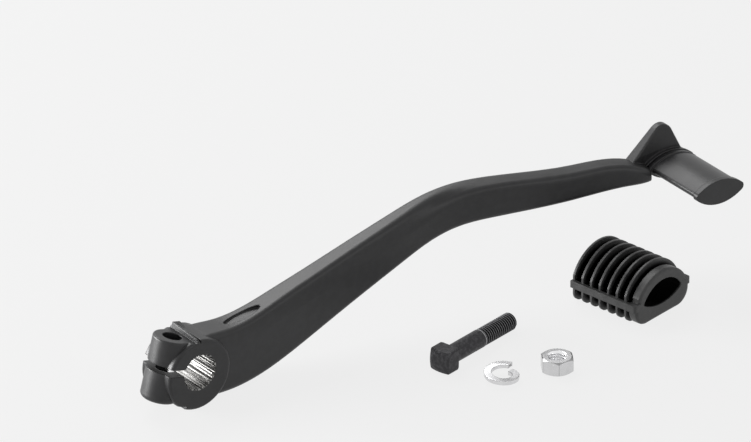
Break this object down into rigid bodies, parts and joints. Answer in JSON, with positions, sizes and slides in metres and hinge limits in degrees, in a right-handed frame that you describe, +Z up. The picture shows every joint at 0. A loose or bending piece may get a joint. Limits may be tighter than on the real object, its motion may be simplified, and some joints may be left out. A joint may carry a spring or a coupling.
{
  "type": "kick start lever",
  "caption": "Motorbike kick start lever: forged cranked arm with a splined clamp hub and a pedal blade, with its pedal rubber, pinch bolt, spring washer and nut laid beside it.",
  "frame": {"origin": "centre line of the splined bore, near the middle of the hub's width", "axes": "+Y along the shaft, inboard; -Y is the outboard side the pedal stands out on; +X along the arm towards the pedal; +Z up"},
  "size_m": [0.2699, 0.0906, 0.0616],
  "materials": {
    "black_paint": "satin",
    "black_rubber": "matte",
    "black_oxide": "satin",
    "zinc_plate": "satin"
  },
  "bodies": {
    "root": {"kick_lever": "black_paint", "pedal_rubber": "black_rubber", "clamp_bolt": "black_oxide", "spring_washer": "zinc_plate", "hex_nut": "zinc_plate"}
  },
  "joints": []
}
